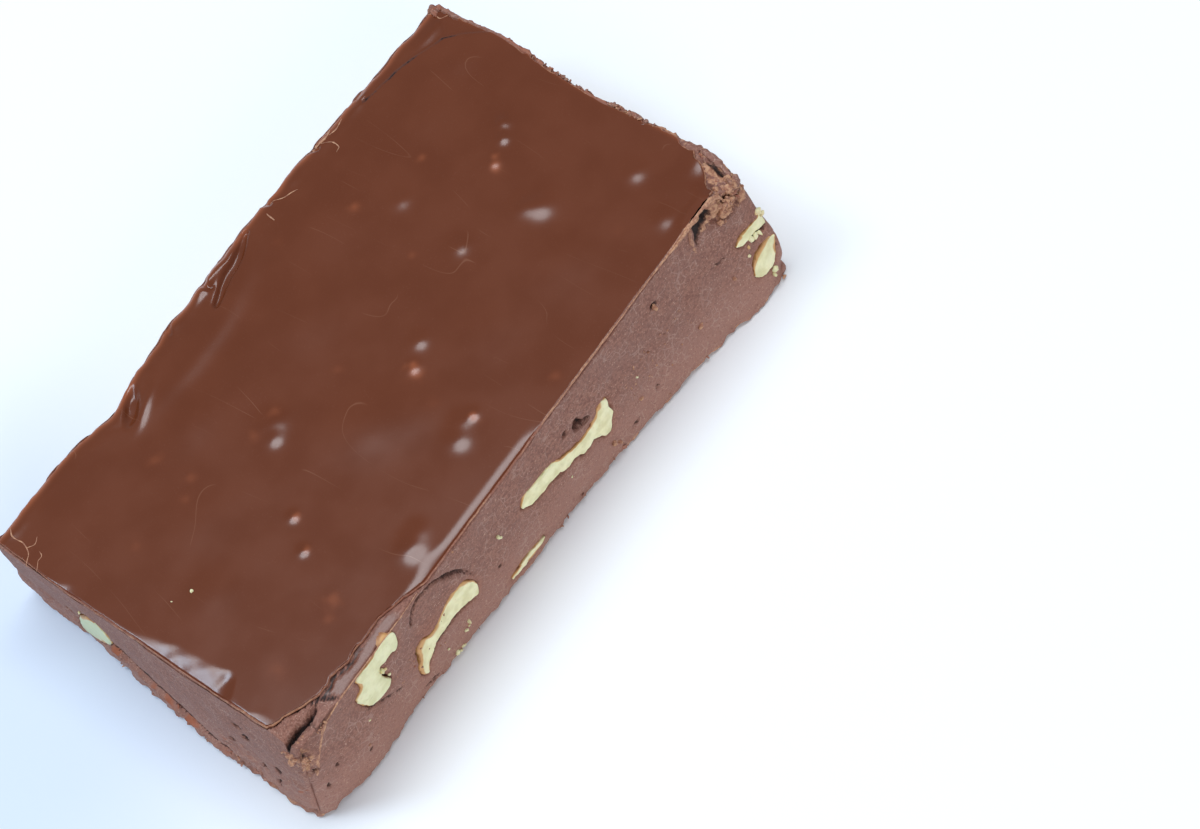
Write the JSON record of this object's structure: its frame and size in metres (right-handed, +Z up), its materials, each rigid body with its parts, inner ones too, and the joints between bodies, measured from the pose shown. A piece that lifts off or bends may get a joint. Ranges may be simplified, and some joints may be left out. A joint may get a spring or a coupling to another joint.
{
  "type": "chocolate fudge slice",
  "caption": "Hand-cut slice of chocolate fudge with a smooth poured top, matte cut walls and walnut pieces lying open at the cuts.",
  "frame": {"origin": "middle of the base's box, on the surface the slice rests on", "axes": "+X along the slice, +Y across its width towards the back wall, +Z up from the base to the poured top"},
  "size_m": [0.0937, 0.0574, 0.0204],
  "materials": {
    "fudge": "smooth satin poured top, matte fine-grained cut walls",
    "walnut": "matte pale kernel with a tan skin at its edge"
  },
  "bodies": {
    "root": {"fudge": "fudge", "walnut_front_hook": "walnut", "walnut_front_arch": "walnut", "walnut_front_long": "walnut", "walnut_front_sliver": "walnut", "walnut_corner_strip": "walnut", "walnut_front_oval": "walnut", "walnut_left_chunk": "walnut", "walnut_back_wave": "walnut", "walnut_back_arch": "walnut", "walnut_back_strip": "walnut", "walnut_back_oval": "walnut", "walnut_right_hook": "walnut", "walnut_right_oval": "walnut"}
  },
  "joints": []
}
